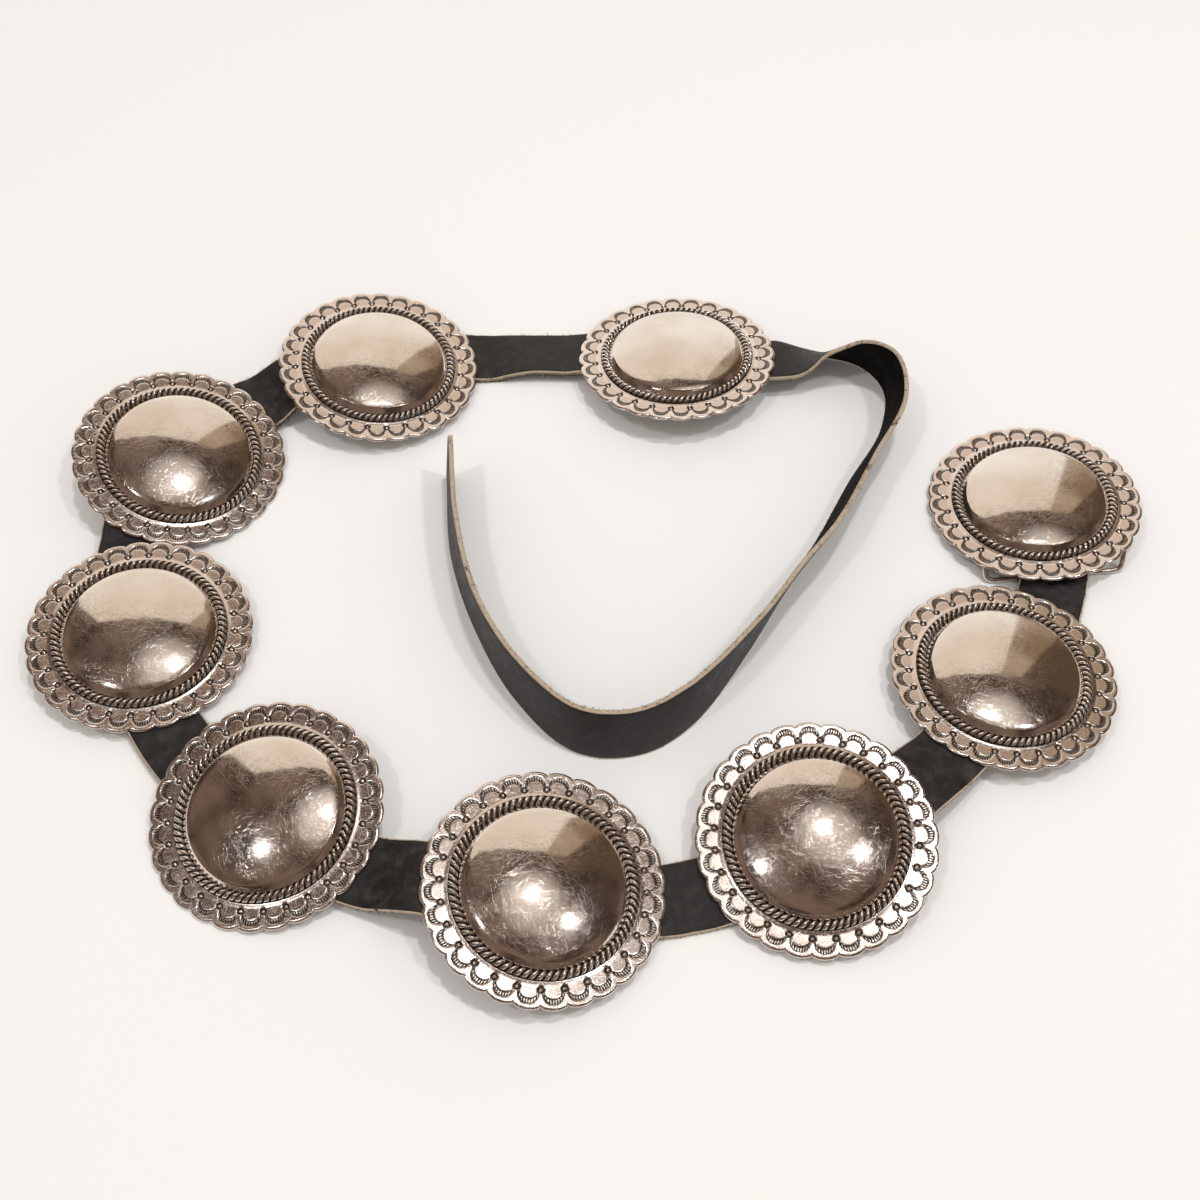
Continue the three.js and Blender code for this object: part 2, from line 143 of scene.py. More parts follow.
# The strap's route: a centripetal spline through the conchos and the rows of the tail
def spline_point(points, t, centripetal=True):
    last = len(points) - 1
    place = last * t
    i = min(int(place), last - 1)
    w = place - i
    p1, p2 = points[i], points[i + 1]
    p0 = points[i - 1] if i > 0 else 2 * points[0] - points[1]
    p3 = points[i + 2] if i + 2 <= last else 2 * points[last] - points[last - 1]
    if centripetal:
        d0, d1, d2 = (math.sqrt(np.linalg.norm(b - a)) for a, b in ((p0, p1), (p1, p2), (p2, p3)))
        t1 = ((p1 - p0) / d0 - (p2 - p0) / (d0 + d1) + (p2 - p1) / d1) * d1
        t2 = ((p2 - p1) / d1 - (p3 - p1) / (d1 + d2) + (p3 - p2) / d2) * d1
    else:
        t1, t2 = (p2 - p0) / 2, (p3 - p1) / 2
    return p1 + t1 * w + (3 * (p2 - p1) - 2 * t1 - t2) * w ** 2 + (2 * (p1 - p2) + t1 + t2) * w ** 3


class Seat:
    def __init__(self, row):
        self.name, x, y, rise_x, rise_y, notch, self.wave = row
        self.place = np.array([x, y, 0.0]) * PITCH
        slopes = [-math.tan(math.radians(a)) for a in (rise_x, rise_y)]
        self.normal = unit(np.array([*slopes, 1.0]))
        self.notch = math.radians(notch)
        self.centre = self.place.copy()

    def rise(self, place):
        n, c = self.normal, self.centre
        return -(n[0] * (place[0] - c[0]) + n[1] * (place[1] - c[1])) / n[2]


seats = [Seat(row) for row in SEATS]
buckle, loop_seats = seats[0], seats[1:]
tail_start = np.array([*TAIL[0][:2], 0.0]) * PITCH
for i, seat in enumerate(seats):
    before = seats[i - 1].place if i else seat.place
    after = seats[i + 1].place if i + 1 < len(seats) else tail_start
    seat.left = unit(left_of(after - before))

route = [np.array([x, y, 0.0]) * PITCH for x, y in STRAP_START]
route += [seat.place + STRAP_OFFSET * seat.left for seat in loop_seats]
route += [np.array([x, y, 0.0]) * PITCH for x, y, _ in TAIL]
leans = [np.array([i, lean, 0.0]) for i, (_, _, lean) in enumerate(TAIL)]

FINE = 60
fine_count = (len(route) - 1) * FINE
fine_points = np.array([spline_point(route, i / fine_count) for i in range(fine_count + 1)])
fine_runs = np.concatenate([[0.0], np.cumsum(
    np.linalg.norm(np.diff(fine_points, axis=0), axis=1))])
strap_length = fine_runs[-1]
tail_row = len(STRAP_START) + len(loop_seats)
seat_runs = [0.0] + [fine_runs[(len(STRAP_START) + i) * FINE] for i in range(len(loop_seats))]


def plan_at(length):
    i = max(1, min(int(np.searchsorted(fine_runs, length)), fine_count))
    share = (length - fine_runs[i - 1]) / (fine_runs[i] - fine_runs[i - 1])
    step = fine_points[i] - fine_points[i - 1]
    return fine_points[i - 1] + step * share, (i - 1 + share) / FINE, unit(step)


for i, seat in enumerate(seats):
    n = seat.normal
    drop = RIM_RADIUS * math.hypot(n[0], n[1]) + PLATE_THICKNESS * n[2]
    if seat is not buckle:
        for end in (-1, 1):
            point, _, heading = plan_at(seat_runs[i] + end * LOOP_END)
            for side in (-1, 1):
                corner = point + left_of(heading) * side * LEG_OUTER - n * LOOP_DEPTH
                drop = max(drop, LOOP_DEPTH * n[2] - seat.rise(corner))
    seat.centre[2] = drop + REST_GAP


def strap_plane(seat, place):
    if seat is buckle:
        return REST_GAP + 2 * WIRE_RADIUS + SEAT_GAP + STRAP_THICKNESS / 2
    return seat.centre[2] + seat.rise(place) - LOOP_DROP / seat.normal[2]


def resting_height(across):
    level = math.hypot(across[0], across[1])
    return REST_GAP + STRAP_WIDTH / 2 * abs(across[2]) + STRAP_THICKNESS / 2 * level


def edge_height(index, length, place):
    a, b = seats[index], seats[index + 1]
    height_a, height_b = strap_plane(a, place), strap_plane(b, place)
    reach = RIM_END if height_a < height_b else LOOP_END
    start = seat_runs[index] + (STAPLE_REACH if a is buckle else reach)
    end = seat_runs[index + 1] - (RIM_END if height_b < height_a else LOOP_END)
    return height_a + (height_b - height_a) * smooth(start, end, length)


def between_seats(index, length, point, left):
    start, end = seat_runs[index] + RIM_END, seat_runs[index + 1] - RIM_END
    share = min(max((length - start) / (end - start), 0.0), 1.0)
    wave = seats[index].wave * STRAP_WIDTH * math.sin(math.pi * share) ** 2
    outside = edge_height(index, length, point + left * STRAP_WIDTH / 2)
    inside = edge_height(index, length, point - left * STRAP_WIDTH / 2) + wave
    return (outside + inside) / 2, unit(left * STRAP_WIDTH + [0, 0, outside - inside])


def on_tail(length, row, point, left):
    last = seats[-1]
    start = seat_runs[-1] + RIM_END
    share = smooth(start, start + TWIST_LENGTH, length)
    place = min(max((row - tail_row) / (len(TAIL) - 1), 0.0), 1.0)
    lean = math.radians(spline_point(leans, place, centripetal=False)[1])
    flat = unit(left - [0, 0, last.normal @ left / last.normal[2]])
    standing = left * math.cos(lean) - np.array([0, 0, math.sin(lean)])
    across = unit(flat + (standing - flat) * share)
    height = strap_plane(last, point)
    return height + (resting_height(across) - height) * share, across


def strap_at(length):
    point, row, heading = plan_at(length)
    left = left_of(heading)
    passed = sum(at <= length for at in seat_runs) - 1
    if passed == len(seats) - 1:
        height, across = on_tail(length, row, point, left)
    else:
        height, across = between_seats(passed, length, point, left)
    grain = np.cross(heading, across)
    middle = np.array([point[0], point[1], max(height, resting_height(across))])
    return middle, heading, across, grain


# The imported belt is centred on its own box, so the shift is read off the strap's box
def laid_shift():
    ends = []
    for length in np.linspace(0, strap_length, 700):
        middle, _, across, grain = strap_at(length)
        for side in (-0.5, 0.5):
            for face in (-0.5, 0.5):
                ends.append(middle + across * side * STRAP_WIDTH + grain * face * STRAP_THICKNESS)
    low, high = np.min(ends, axis=0), np.max(ends, axis=0)
    box_low, box_high = (np.array(corner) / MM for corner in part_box("strap"))
    shift = (box_low + box_high - low - high) / 2
    shift[2] = box_high[2] - high[2]
    return shift


SHIFT = laid_shift()


# Meshes. Points are given in millimetres, in the place where the piece lies.
def mesh_object(name, points, polygons, materials, smooth_faces=True, indices=None, layers=None):
    mesh = bpy.data.meshes.new(name)
    mesh.from_pydata((np.asarray(points, dtype=float) * MM).tolist(), [], polygons)
    mesh.polygons.foreach_set("use_smooth", np.full(len(polygons), smooth_faces))
    for layer, values in (layers or {}).items():
        attribute = mesh.attributes.new(layer, "FLOAT", "POINT")
        attribute.data.foreach_set("value", np.asarray(values, dtype=np.float32))
    for item in materials:
        mesh.materials.append(item)
    if indices is not None:
        mesh.polygons.foreach_set("material_index", np.asarray(indices, dtype=np.int32))
    piece = bpy.data.objects.new(name, mesh)
    bpy.context.collection.objects.link(piece)
    return piece


def belt_piece(piece, node=None):
    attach(piece, "root")
    if node:
        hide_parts(node)
    return piece


# Faces between rings of points that run round an axis or a section
def ring_faces(rings, count, wrap=False):
    i, k = np.meshgrid(np.arange(rings if wrap else rings - 1), np.arange(count), indexing="ij")
    after = (k + 1) % count
    low, high = i * count, (i + 1) % rings * count
    return np.stack([low + k, low + after, high + after, high + k], -1).reshape(-1, 4).tolist()


def fan_faces(start, count, centre, flip=False):
    faces = [[start + k, start + (k + 1) % count, centre] for k in range(count)]
    return [face[::-1] for face in faces] if flip else faces


# Node graphs
class Graph:
    def __init__(self, owner):
        owner.use_nodes = True
        self.tree = owner.node_tree

    def node(self, kind, inputs=(), **settings):
        made = self.tree.nodes.new(kind)
        for key, value in settings.items():
            setattr(made, key, value)
        for key, value in dict(inputs).items():
            self.put(value, made.inputs[key])
        return made

    def put(self, value, socket):
        if isinstance(value, bpy.types.NodeSocket):
            self.tree.links.new(value, socket)
        else:
            socket.default_value = value

    def math(self, operation, *values, clamp=False):
        made = self.node("ShaderNodeMath", enumerate(values), operation=operation)
        made.use_clamp = clamp
        return made.outputs[0]

    def spread(self, value, low, high, to_low=0.0, to_high=1.0):
        made = self.node("ShaderNodeMapRange", {
            "Value": value, "From Min": low, "From Max": high,
            "To Min": to_low, "To Max": to_high}, interpolation_type="SMOOTHSTEP")
        return made.outputs[0]

    def mix(self, share, a, b):
        made = self.node("ShaderNodeMix", data_type="RGBA")
        for socket, value in ((0, share), (6, a), (7, b)):
            self.put(value, made.inputs[socket])
        return made.outputs[2]

    def noise(self, vector, scale, detail=2.0, rough=0.5):
        made = self.node("ShaderNodeTexNoise", {
            "Vector": vector, "Scale": scale, "Detail": detail, "Roughness": rough})
        return made.outputs[0]

    def place(self):
        return self.node("ShaderNodeTexCoord").outputs["Object"]

    def layer(self, name):
        return self.node("ShaderNodeAttribute", attribute_name=name).outputs["Fac"]

    # Coordinates in which a feature of the given size, in metres, is one unit
    def stretched(self, vector, turn, size):
        made = self.node("ShaderNodeMapping", {
            "Vector": vector, "Rotation": (0, 0, turn), "Scale": size}, vector_type="TEXTURE")
        return made.outputs[0]

    def bump(self, height, distance, strength=1.0, normal=None):
        made = self.node("ShaderNodeBump", {
            "Height": height, "Distance": distance, "Strength": strength})
        if normal is not None:
            self.put(normal, made.inputs["Normal"])
        return made.outputs[0]


def shaded(name, build):
    made = bpy.data.materials.new(name)
    graph = Graph(made)
    shader = graph.tree.nodes["Principled BSDF"]
    for key, value in build(graph).items():
        graph.put(value, shader.inputs[key])
    return made


# The plate's relief, in steps round it: 28 a scallop, and 8 a strand of the rope
AROUND = 28 * SCALLOPS
DOME_AROUND = 196
STRANDS = 80
ROPE_AROUND = 8 * STRANDS
ROPE_FOOT = 0.1
ROPE_TOP = ROPE_HEIGHT + 0.35
ROPE_UNDER = 0.7               # how far the plate runs under the rope's outer side
STRAND_SLANT = 1.0             # strands that one passes while it crosses the ring
DOT_RADIUS = 37.2
STAMP_FOOT = 36.9
OUTER_ARC = (3.95, 5.75, 2.5)  # crescent's outer arc: half width, height and squareness
INNER_ARC = (3.25, 3.3, 2.2)
CRESCENT_DEPTH = 0.25
DOT_OUTER = 1.4
DOT_BEAD = 0.66
DOT_DEPTH = 0.45
EDGE_ROLL = 0.45               # how far the flange drops at its rim
RIM_SIDE = (0.75, 0.97)        # the rim's upright side and its worn lower corner
INNER_RADIUS = DOME_RADIUS - DOME_SHEET

# Silver: bright where it is rubbed, black where the stamps and grooves hold tarnish, with
# painted shade spread wide between the rope's strands, and fine scratches in all directions
# The brown of tarnish, also used for the painted shade between the rope's strands
OXIDE_AND_SHADE_BROWN = (0.035, 0.027, 0.022, 1)
SCRATCH_TURNS = (0.2, 0.75, 1.3, 1.8, 2.35, 2.9)
SCRATCH_SIZE = (0.006, 0.00016, 0.006)
LAND_ROSE = (0.73, 0.62, 0.55, 1)  # the metal that a crescent encloses
TICKS_ROUND = 10 * SCALLOPS


# Length of a place's offset from the middle of a cell round the plate, in units of the sizes
def cell_offset(graph, shift, middle, across=1.0, out=1.0, square=2.0):
    radius = graph.layer("radius")
    cell = graph.math("FRACT", graph.math("MULTIPLY_ADD", graph.layer("around"), SCALLOPS, shift))
    turn = graph.math("MULTIPLY", graph.math("SUBTRACT", cell, 0.5), 2 * math.pi / SCALLOPS)
    u = graph.math("DIVIDE", graph.math("MULTIPLY", turn, radius), across)
    v = graph.math("DIVIDE", graph.math("SUBTRACT", radius, middle), out)
    powers = [graph.math("POWER", graph.math("ABSOLUTE", part), square) for part in (u, v)]
    return graph.math("POWER", graph.math("ADD", *powers), 1 / square)


# The tarnish in a plate's stamps: crescents with ticks across them, and a dot at each notch
def stamp_tarnish(graph):
    outer = cell_offset(graph, 0, STAMP_FOOT, *OUTER_ARC)
    inner = cell_offset(graph, 0, STAMP_FOOT, *INNER_ARC)
    dot = cell_offset(graph, 0.5, DOT_RADIUS)
    beyond = graph.spread(graph.layer("radius"), STAMP_FOOT - 0.4, STAMP_FOOT)
    inside = graph.math("MULTIPLY", graph.spread(outer, 1.0, 0.95), graph.spread(inner, 1.0, 1.1))
    turns = graph.math("MULTIPLY", graph.layer("around"), 2 * math.pi * TICKS_ROUND)
    ticks = graph.spread(graph.math("SINE", turns), -0.8, 0.1, 0.5, 1.0)
    rim_line = graph.math("MULTIPLY", graph.spread(inner, 0.97, 1.0), graph.spread(inner, 1.2, 1.1))
    filled = graph.math("MULTIPLY", inside, graph.math("MAXIMUM", ticks, rim_line))
    crescent = graph.math("MULTIPLY", graph.math("MULTIPLY", filled, beyond),
                          graph.spread(dot, DOT_OUTER - 0.1, DOT_OUTER))
    ring = graph.math("MULTIPLY", graph.spread(dot, DOT_OUTER, DOT_OUTER - 0.2),
                      graph.spread(dot, DOT_BEAD - 0.1, DOT_BEAD + 0.1))
    land = graph.math("MULTIPLY", graph.spread(inner, 0.98, 0.9), beyond)
    return graph.math("MAXIMUM", crescent, ring), land


# Tarnish in the grooves between the rope's strands, spread wide over each strand as painted shade
def strand_tarnish_and_shade(graph):
    share = graph.math("MULTIPLY_ADD", graph.layer("radius"), -1 / ROPE_WIDTH,
                       ROPE_OUTER / ROPE_WIDTH)
    strands = graph.math("MULTIPLY", graph.layer("around"), STRANDS)
    strand = graph.math("SUBTRACT", strands, graph.math("MULTIPLY", share, STRAND_SLANT))
    groove = graph.math("ABSOLUTE", graph.math("SINE", graph.math("MULTIPLY", strand, math.pi)))
    return graph.spread(groove, 0.68, 0.5)


def silver_look(tint, worn_tint, polish, scratch_depth, stamped=False, twisted=False):
    def build(graph):
        place = graph.place()
        patches = graph.noise(place, 60, 4)
        fine = graph.noise(place, 1100, 3)
        grit = graph.noise(place, 6500, 1)
        darkening = graph.layer("oxide")
        if stamped:
            stamps_held, land = stamp_tarnish(graph)
            darkening = graph.math("MAXIMUM", darkening, stamps_held)
        # On the rope: tarnish in the grooves, plus painted shade spread over the strands
        if twisted:
            darkening = graph.math("MAXIMUM", darkening, strand_tarnish_and_shade(graph))
        # How far the metal turns to the dark brown: tarnish, and on the rope also painted shade
        grime_and_shade = graph.math("MULTIPLY", darkening, graph.spread(fine, 0.3, 0.6, 0.8, 1.1), clamp=True)
        metal = graph.mix(graph.spread(patches, 0.35, 0.7), tint, worn_tint)
        if stamped:
            metal = graph.mix(graph.math("MULTIPLY", land, 0.8), metal, LAND_ROSE)
        lines = None
        for turn in SCRATCH_TURNS:
            streaks = graph.noise(graph.stretched(place, turn, SCRATCH_SIZE), 1.0, 1)
            cut = graph.spread(streaks, 0.66, 0.73)
            lines = cut if lines is None else graph.math("MAXIMUM", lines, cut)
        dulled = graph.math("ADD", graph.math("MULTIPLY", grime_and_shade, 0.25),
                            graph.math("MULTIPLY", lines, 0.15))
        rough = graph.math("ADD", graph.spread(grit, 0.45, 0.62, *polish), dulled)
        return {
            "Base Color": graph.mix(grime_and_shade, metal, OXIDE_AND_SHADE_BROWN),
            "Metallic": 1.0,
            "Roughness": rough,
            "Normal": graph.bump(graph.math("MULTIPLY_ADD", fine, 0.12, lines), scratch_depth),
        }
    return build


plate_silver = shaded("silver_plate", silver_look(
    (0.93, 0.84, 0.78, 1), (0.82, 0.71, 0.64, 1), (0.1, 0.24), 0.000008, stamped=True))
rope_silver = shaded("silver_rope", silver_look(
    (0.97, 0.9, 0.84, 1), (0.88, 0.79, 0.71, 1), (0.07, 0.17), 0.000003, twisted=True))
dome_silver = shaded("silver_dome", silver_look(
    (0.88, 0.81, 0.75, 1), (0.8, 0.71, 0.63, 1), (0.02, 0.11), 0.000005))
wire_silver = shaded("silver_wire", silver_look(
    (0.8, 0.73, 0.67, 1), (0.55, 0.47, 0.41, 1), (0.2, 0.4), 0.00001))


def grain_look(graph):
    place = graph.place()
    pebble = graph.node("ShaderNodeTexVoronoi", {"Vector": place, "Scale": 1500}).outputs[0]
    mottle = graph.noise(place, 190, 6, 0.65)
    creases = graph.noise(place, 420, 4, 0.7)
    dusty = graph.spread(mottle, 0.42, 0.72)
    height = graph.math("ADD", pebble, graph.math("MULTIPLY", creases, 2.5))
    return {
        "Base Color": graph.mix(dusty, (0.009, 0.0075, 0.007, 1), (0.042, 0.034, 0.029, 1)),
        "Roughness": graph.spread(mottle, 0.3, 0.7, 0.45, 0.7),
        "Specular IOR Level": 0.45,
        "Normal": graph.bump(height, 0.00014, 0.8),
    }


def edge_look(graph):
    place = graph.place()
    fibres = graph.noise(graph.stretched(place, 0, (0.0012, 0.0012, 0.0004)), 1.0, 3)
    stain = graph.noise(place, 260, 4, 0.7)
    tan = graph.mix(fibres, (0.3, 0.22, 0.15, 1), (0.62, 0.5, 0.37, 1))
    return {
        "Base Color": graph.mix(graph.spread(stain, 0.56, 0.68), tan, (0.04, 0.03, 0.025, 1)),
        "Roughness": 0.85,
        "Normal": graph.bump(fibres, 0.0002),
    }


def flesh_look(graph):
    place = graph.place()
    nap = graph.noise(place, 1400, 5, 0.75)
    shade = graph.noise(place, 120, 4, 0.6)
    return {
        "Base Color": graph.mix(graph.spread(shade, 0.35, 0.7),
                                (0.003, 0.003, 0.003, 1), (0.013, 0.011, 0.01, 1)),
        "Roughness": 0.95,
        "Specular IOR Level": 0.12,
        "Normal": graph.bump(nap, 0.0003),
    }


def fibre_look(graph):
    tone = graph.noise(graph.place(), 900, 1)
    return {
        "Base Color": graph.mix(tone, (0.008, 0.007, 0.006, 1), (0.12, 0.09, 0.065, 1)),
        "Roughness": 0.8,
    }


grain_leather = shaded("strap_grain", grain_look)
edge_leather = shaded("strap_edge", edge_look)
flesh_leather = shaded("strap_flesh", flesh_look)
fibre_leather = shaded("strap_fibres", fibre_look)


# Shapes of the concho, in its own frame: zero height is the plate's upper face
def outline_radius(angle):
    share = (angle * SCALLOPS / (2 * math.pi)) % 1.0
    return RIM_RADIUS - SCALLOP_DEPTH * (1 - np.sqrt(np.sin(math.pi * share)))


# How deep into a crescent stamp and a dot a place on the flange is, each 0 to 1
def stamps(radius, angle):
    step = 2 * math.pi / SCALLOPS
    from_notch = (angle + step / 2) % step - step / 2
    from_tip = angle % step - step / 2
    u, v = radius * from_tip, radius - STAMP_FOOT
    outer, inner = ((np.abs(u / a) ** p + np.abs(v / b) ** p) ** (1 / p)
                    for a, b, p in (OUTER_ARC, INNER_ARC))
    crescent = smooth(1.0, 0.93, outer) * smooth(1.0, 1.18, inner) * (v > -0.3)
    dot = np.hypot(radius * from_notch, radius - DOT_RADIUS)
    ring = smooth(DOT_OUTER, DOT_OUTER - 0.3, dot) * smooth(DOT_BEAD - 0.2, DOT_BEAD + 0.1, dot)
    return np.where(dot < DOT_OUTER, 0, crescent), ring


def flange_height(radius, angle):
    crescent, ring = stamps(radius, angle)
    edge = outline_radius(angle) - radius
    return -CRESCENT_DEPTH * crescent - DOT_DEPTH * ring \
        - EDGE_ROLL * smooth(1.0, 0.0, edge) ** 2


def dome_height(r):
    crown = DOME_RISE - SHOULDER_HEIGHT
    sphere = (DOME_RADIUS ** 2 + crown ** 2) / (2 * crown)
    out = np.clip((DOME_RADIUS - r) / SHOULDER_WIDTH, 0, 1)
    return DOME_FOOT + crown - sphere + np.sqrt(sphere ** 2 - r ** 2) + SHOULDER_HEIGHT * out


# How far a place on the rope is from the groove between two strands, 0 to 1
def strand_groove(share, angle):
    strand = STRANDS * angle / (2 * math.pi) - STRAND_SLANT * share
    return np.abs(np.sin(math.pi * strand))


# Rings of a plate: radius, height and tarnish, each one number or one for every step round
def plate_rings(angle):
    outline = outline_radius(angle)
    rings = [(INNER_RADIUS, -PLATE_THICKNESS, 0.5), (outline - 0.3, -PLATE_THICKNESS, 0.4),
             (outline - 0.06, -RIM_SIDE[1], 0.15), (outline, -RIM_SIDE[0], 0)]
    for share in np.linspace(0, 1, 24):
        radius = outline + (BEVEL_FOOT - outline) * share
        rings.append((radius, flange_height(radius, angle), 0))
    for share in (0.25, 0.5, 0.75, 1.0):
        radius = BEVEL_FOOT + (ROPE_OUTER - 0.2 - BEVEL_FOOT) * share
        rings.append((radius, BEVEL_TOP * smooth(0, 1, share), 0.05))
    return rings + [(ROPE_OUTER - ROPE_UNDER, 0.1, 1), (DOME_RADIUS - 0.5, 0.3, 1)]


def rope_rings(angle):
    rings = [(DOME_RADIUS + 0.1, 0.1, 1), (ROPE_OUTER - 0.3, 0.05, 1)]
    for share in np.linspace(0, 1, 10):
        groove = strand_groove(share, angle)
        crown = math.sin(math.pi * (0.05 + 0.9 * share)) ** 0.5
        cut = 0.6 + 0.4 * smooth(0.25, 0.85, groove)
        height = ROPE_FOOT + (ROPE_TOP - ROPE_FOOT) * crown * cut
        darkening = 0.8 * smooth(0.12, 0, share)
        rings.append((ROPE_OUTER - ROPE_WIDTH * share, height, darkening))
    return rings


def dome_rings():
    outside = [DOME_RADIUS - SHOULDER_WIDTH * share for share in (0, 0.05, 0.35, 0.65, 0.93, 1.07)]
    outside += [outside[-1] * (1 - share) for share in np.linspace(0, 0.985, 13)[1:]]
    inside = [INNER_RADIUS * share for share in (0.015, 0.35, 0.65, 0.88, 1.0)]
    rings = [(r, dome_height(min(r + DOME_SHEET, DOME_RADIUS)) - DOME_SHEET, 0.3) for r in inside]
    rings += [(INNER_RADIUS, -PLATE_THICKNESS + 0.1, 0.3), (DOME_RADIUS, DOME_FOOT - 0.6, 1)]
    return rings + [(r, float(dome_height(r)), 0.9 if i == 0 else 0)
                    for i, r in enumerate(outside)]


# A piece turned from rings round a concho's axis, either capped or joined from last to first
def turned_piece(name, rings, around, finish, seat, capped=False):
    angle = np.arange(around) * 2 * math.pi / around
    x, y, z = concho_axes[seat.name]
    bearing = angle + seat.notch - math.atan2(x[1], x[0])
    cosine, sine = np.cos(bearing), np.sin(bearing)
    full = np.ones(around)
    points = np.concatenate([
        np.outer(full * r * cosine, x) + np.outer(full * r * sine, y) + np.outer(full * h, z)
        for r, h, _ in rings])
    layers = {"oxide": np.concatenate([full * darkening for _, _, darkening in rings]),
              "radius": np.concatenate([full * r for r, _, _ in rings]),
              "around": np.tile(angle / (2 * math.pi), len(rings))}
    faces = ring_faces(len(rings), around, wrap=not capped)
    if capped:
        ends = [z * rings[0][1], z * rings[-1][1]]
        faces += fan_faces(0, around, len(points), flip=True)
        faces += fan_faces((len(rings) - 1) * around, around, len(points) + 1)
        points = np.concatenate([points, ends])
        layers = {key: np.append(values, [0, 0]) for key, values in layers.items()}
    return mesh_object(name, points + seat.centre + SHIFT, faces, [finish], layers=layers)


def axes_of(seat, index):
    heading = strap_at(seat_runs[index])[1]
    z = seat.normal
    x = unit(heading - z * (heading @ z))
    return x, np.cross(z, x), z


concho_axes = {seat.name: axes_of(seat, index) for index, seat in enumerate(seats)}


def build_conchos():
    turn, rope_turn = (np.arange(n) * 2 * math.pi / n for n in (AROUND, ROPE_AROUND))
    flange, rope, dome = plate_rings(turn), rope_rings(rope_turn), dome_rings()
    for index, seat in enumerate(seats):
        belt_piece(turned_piece(f"{seat.name}_plate", flange, AROUND, plate_silver, seat),
                   seat.name)
        belt_piece(turned_piece(f"{seat.name}_rope", rope, ROPE_AROUND, rope_silver, seat))
        belt_piece(turned_piece(f"{seat.name}_dome", dome, DOME_AROUND, dome_silver, seat, True))
        if seat is not buckle:
            for side in (-1, 1):
                build_loop(seat, index, side)


def worn_edges(piece, width):
    bevel = piece.modifiers.new("worn edges", "BEVEL")
    bevel.width, bevel.segments = width * MM, 2


# Two outlines, one behind the other, closed into a solid
def extruded(name, outline, caps, near, far, finishes, smooth_faces=False):
    n = len(outline)
    points = [near(*corner) for corner in outline] + [far(*corner) for corner in outline]
    faces = [[k, (k + 1) % n, n + (k + 1) % n, n + k] for k in range(n)]
    faces += [cap[::-1] for cap in caps] + [[k + n for k in cap] for cap in caps]
    return mesh_object(name, points, faces, finishes, smooth_faces)


def build_loop(seat, index, side):
    middle, heading, _, _ = strap_at(seat_runs[index] + side * LOOP_REACH)
    x, y, z = concho_axes[seat.name]
    along = unit(heading - z * (heading @ z))
    across = np.cross(z, along)
    place = middle - seat.centre
    origin = seat.centre + x * (place @ x) + y * (place @ y) + SHIFT
    inner = STRAP_WIDTH / 2 + SIDE_GAP
    top = SOLDER_DEPTH - PLATE_THICKNESS
    bottom = LOOP_THICKNESS - LOOP_DEPTH
    outline = [(-LEG_OUTER, top), (-LEG_OUTER, -LOOP_DEPTH), (LEG_OUTER, -LOOP_DEPTH),
               (LEG_OUTER, top), (inner, top), (inner, bottom), (-inner, bottom), (-inner, top)]
    near, far = (lambda a, h, u=u: origin + along * u * LOOP_WIDTH + across * a + z * h
                 for u in (-0.5, 0.5))
    piece = extruded(f"{seat.name}_loop_{'in' if side < 0 else 'out'}", outline,
                     [[0, 1, 6, 7], [1, 2, 5, 6], [2, 3, 4, 5]], near, far, [wire_silver])
    worn_edges(piece, 0.25)
    belt_piece(piece)


# A round wire along straight runs with rounded corners and rounded ends
WIRE_AROUND = 18


def wire_path(points, corner):
    path = [points[0]]
    for before, turn, after in zip(points, points[1:], points[2:]):
        start, end = turn + unit(before - turn) * corner, turn + unit(after - turn) * corner
        for t in np.linspace(0, 1, 9):
            path.append(start * (1 - t) ** 2 + turn * 2 * t * (1 - t) + end * t ** 2)
    return np.array(path + [points[-1]])


def build_wire(name, points, corner):
    path = wire_path([np.asarray(p, dtype=float) for p in points], corner)
    tangents = [unit(t) for t in np.gradient(path, axis=0)]
    side = unit(np.cross(tangents[0], [0.31, 0.17, 0.93]))
    rings = []
    ends = [(0.0, 0.35), (0.2, 0.8)]
    for i, (centre, tangent) in enumerate(zip(path, tangents)):
        side = unit(side - tangent * (side @ tangent))
        other = np.cross(tangent, side)
        steps = [(0.45, 1.0)]
        if i == 0:
            steps = ends + steps
        if i == len(path) - 1:
            steps = [(-back, size) for back, size in reversed(ends + steps)]
        for ahead, size in steps if i in (0, len(path) - 1) else [(0, 1.0)]:
            t = np.arange(WIRE_AROUND) * 2 * math.pi / WIRE_AROUND
            rings.append(centre + tangent * ahead + WIRE_RADIUS * size * (
                np.outer(np.cos(t), side) + np.outer(np.sin(t), other)))
    points = np.concatenate(rings + [[path[0], path[-1]]]) + SHIFT
    faces = ring_faces(len(rings), WIRE_AROUND)
    faces += fan_faces(0, WIRE_AROUND, len(points) - 2, flip=True)
    faces += fan_faces((len(rings) - 1) * WIRE_AROUND, WIRE_AROUND, len(points) - 1)
    belt_piece(mesh_object(name, points, faces, [wire_silver]))


BAR_HEIGHT = STRAP_THICKNESS / 2 + SEAT_GAP + WIRE_RADIUS


